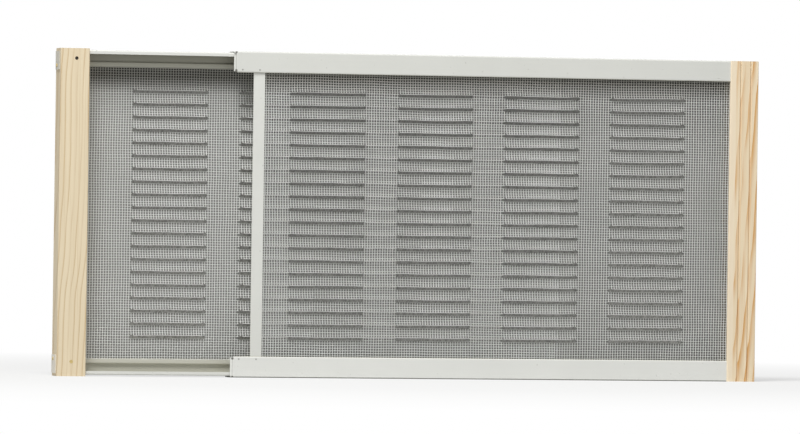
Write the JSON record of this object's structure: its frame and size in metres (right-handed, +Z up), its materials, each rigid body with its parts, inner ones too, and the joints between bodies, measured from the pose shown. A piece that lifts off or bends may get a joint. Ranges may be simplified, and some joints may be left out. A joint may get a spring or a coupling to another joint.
{
  "type": "adjustable window screen",
  "caption": "Sliding insect screen for a sash window: overlapping louvred wire panels in interlocking folded steel rails, with a pine stile at each outer end.",
  "frame": {"origin": "middle of the screen's foot at rest, half way through its depth", "axes": "+X along the slide towards the front panel's stile, +Z up, front faces -Y"},
  "size_m": [0.5662, 0.0196, 0.254],
  "materials": {
    "rail_paint": "light warm grey enamel, satin",
    "pine_left": "planed, bare",
    "pine_right": "planed, bare, strong grain",
    "screen_wire": "galvanised, dull",
    "nail_steel": "worn, slightly yellowed"
  },
  "bodies": {
    "back_panel": {"left_stile": "pine_left", "back_top_rail": "rail_paint", "back_bottom_rail": "rail_paint", "back_screen": "screen_wire", "left_stile_face_nails": "nail_steel", "left_stile_side_nails": "nail_steel"},
    "front_panel": {"right_stile": "pine_right", "front_top_rail": "rail_paint", "front_bottom_rail": "rail_paint", "front_screen": "screen_wire", "front_end_strip": "rail_paint", "right_stile_side_nails": "nail_steel"}
  },
  "joints": [
    {"name": "panel_slide", "type": "slide", "parent": "back_panel", "child": "front_panel", "axis": [1, 0, 0], "range_m": [-0.1145, 0.225]}
  ]
}
